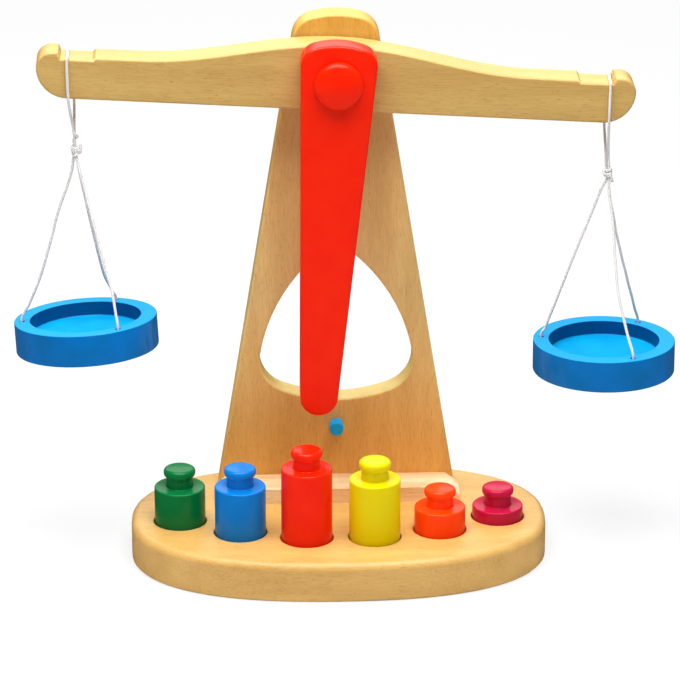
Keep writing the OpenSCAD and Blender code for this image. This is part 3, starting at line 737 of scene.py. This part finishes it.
def cutOut(obj, cutter):
    # Subtracts the cutter's bmesh from a finished piece
    tool = link(bpy.data.objects.new("cutter", newMesh("cutter", cutter)))
    modifier = obj.modifiers.new("cut", "BOOLEAN")
    modifier.object, modifier.solver = tool, "EXACT"
    cut = shapedMesh(obj)
    obj.modifiers.clear()
    cut.name = obj.data.name + "_cut"
    obj.data = cut
    bpy.data.objects.remove(tool)
    # The cut leaves slivers along the rims of its holes, which go here
    bm = bmesh.new()
    bm.from_mesh(cut)
    bmesh.ops.remove_doubles(bm, verts=bm.verts, dist=merge["cut"])
    bmesh.ops.dissolve_degenerate(bm, dist=merge["cut"], edges=bm.edges)
    bmesh.ops.triangulate(bm, faces=[f for f in bm.faces if len(f.verts) > 4])
    bmesh.ops.dissolve_degenerate(bm, dist=merge["cut"], edges=bm.edges)
    markSharpEdges(bm)
    bm.to_mesh(cut)
    bm.free()


def drillRim(piece, place, width, bottom, top, sides):
    # Drills the three cord holes in a dish's rim, from one height to another
    out = (dish["outerD"] + dish["hollowD"]) / 4
    drill = bmesh.new()
    for angle in dish["holeAngles"]:
        spot = Matrix.Translation((out * mm, 0, (bottom + top) / 2 * mm))
        bmesh.ops.create_cone(drill, cap_ends=True, segments=sides, radius1=width / 2 * mm,
                              radius2=width / 2 * mm, depth=(top - bottom) * mm,
                              matrix=place @ (rotation(angle, "Z") @ spot))
    cutOut(piece, drill)


def paintDishLightAndShade(piece, place):
    # Paints light and shade into the dish: the rim and the hollow's floor, which face up, get
    # lighter paints as painted light, and the hollow's wall a darker paint as painted shade
    for part in ("dishRimPaintedLight", "dishFloorPaintedLight", "dishWallPaintedShade"):
        piece.data.materials.append(paints[part])
    upright, top = place.inverted(), dish["high"] / 2
    wallR = dish["hollowD"] / 2 + dish["rimEdge"] + dish["overlap"]
    wallLow = top - dish["hollow"] - dish["overlap"]
    for face in piece.data.polygons:
        spot, facing = upright @ face.center, upright.to_3x3() @ face.normal
        if facing.z > dish["upward"]:
            face.material_index = 1 if spot.z > (top - dish["rimDepth"]) * mm else 2
        elif spot.z > wallLow * mm and spot.xy.length < wallR * mm:
            face.material_index = 3


half, floor = dish["high"] / 2, dish["high"] / 2 - dish["hollow"]
outerR, hollowR = dish["outerD"] / 2, dish["hollowD"] / 2
corners = [
    (0, -half, 0), (outerR, -half, dish["edge"]), (outerR, half, dish["rimEdge"]),
    (hollowR, half, dish["rimEdge"]), (hollowR, floor, dish["edge"]), (0, floor, 0),
]
for side, (pitch, roll, turn) in dish["hang"].items():
    low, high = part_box(f"{side}_dish")
    place = (Matrix.Translation((low + high) / 2) @ rotation(-roll, "Y") @ rotation(-pitch, "X")
             @ rotation(-turn, "Z"))
    piece = finishPiece(f"{side}_turned_dish", turned(corners, place, dish["steps"]),
                        paints["dishSide"], f"{side}_pan", [f"{side}_dish"])
    drillRim(piece, place, dish["holeD"], -dish["high"], dish["high"], dish["holeSides"])
    drillRim(piece, place, dish["counterboreD"], -half - dish["overrun"],
             -half + dish["counterbore"], dish["counterboreSides"])
    paintDishLightAndShade(piece, place)
print("dishes turned")

hidden = {"spacer_washer": steel, "tower_screws": steel, "pointer_dowel": beamWood}
for node, material in hidden.items():
    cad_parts[node].data.materials.clear()
    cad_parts[node].data.materials.append(material)
print("hidden fittings finished")

# The studio: white paper below, a white room, a softbox above and a glow from behind

paper = {
    "size": 6, "below": 0.2,  # metres, and millimetres under the base
    "tone": "#e6e6e6",
    "inGloss": "#3c3c3c",  # dark in the paints' shine, which keeps their colours strong
    "glow": 0.78,  # share of plain white that the camera sees on it
}
studio = {
    "onMatt": 0.22,  # the room's own light on matt surfaces
    "inGloss": 0.12,  # how bright the room looks in a gloss
    "aim": (0, 0, 0.15),
    "lamps": {
        "softbox": {"power": 20.5, "size": (1.0, 0.8), "at": (-0.05, -0.15, 1.05)},
        "backdropGlow": {"power": 13.5, "size": (2.2, 0.85), "at": (0, 1.35, 1.05)},
    },
}


def lookingRays(tree):
    # 1 on what the camera sees, also through glass, and 1 on what a gloss mirrors
    rays = addNode(tree, "LightPath").outputs
    seen = addNode(tree, "Math", {0: rays["Is Camera Ray"], 1: rays["Is Transmission Ray"]},
                   operation="MAXIMUM")
    return seen.outputs["Value"], rays["Is Glossy Ray"]


def paperFloor():
    # Matt white paper: nearly plain white to the camera, with the object's soft shadow on it
    material = bpy.data.materials.new("whitePaper")
    tree = emptyTree(material)
    seen, mirrored = lookingRays(tree)
    share = addNode(tree, "Math", {0: seen, 1: paper["glow"]}, operation="MULTIPLY")
    tone = addNode(tree, "Mix", {0: mirrored, 6: linear(paper["tone"]),
                                 7: linear(paper["inGloss"])}, data_type="RGBA")
    matt = addNode(tree, "BsdfDiffuse", {"Color": tone.outputs[2]})
    glow = addNode(tree, "Emission", {"Color": (1, 1, 1, 1), "Strength": 1.0})
    mix = addNode(tree, "MixShader", {0: share.outputs["Value"], 1: matt.outputs["BSDF"],
                                      2: glow.outputs["Emission"]})
    addNode(tree, "OutputMaterial", {"Surface": mix.outputs["Shader"]})
    bm = bmesh.new()
    bmesh.ops.create_grid(bm, x_segments=1, y_segments=1, size=paper["size"],
                          matrix=Matrix.Translation((0, 0, -paper["below"] * mm)))
    mesh = newMesh("floor", bm)
    mesh.materials.append(material)
    link(bpy.data.objects.new("floor", mesh))


def lightStudio():
    world = bpy.data.worlds.new("studio")
    bpy.context.scene.world = world
    tree = emptyTree(world)
    seen, mirrored = lookingRays(tree)
    unseen = addNode(tree, "MapRange", {"Value": mirrored, "To Min": studio["onMatt"],
                                        "To Max": studio["inGloss"]})
    level = addNode(tree, "MapRange", {"Value": seen, "To Min": unseen.outputs["Result"],
                                       "To Max": 1.0})
    room = addNode(tree, "Background", {"Color": (1, 1, 1, 1),
                                        "Strength": level.outputs["Result"]})
    addNode(tree, "OutputWorld", {"Surface": room.outputs["Background"]})
    for name, look in studio["lamps"].items():
        data = bpy.data.lights.new(name, "AREA")
        data.shape, data.energy = "RECTANGLE", look["power"]
        data.size, data.size_y = look["size"]
        lamp = link(bpy.data.objects.new(name, data))
        lamp.location = look["at"]
        facing = Vector(studio["aim"]) - lamp.location
        lamp.rotation_euler = facing.to_track_quat("-Z", "Y").to_euler()


paperFloor()
lightStudio()
bpy.context.scene.view_settings.view_transform = "Standard"
print("studio lit")
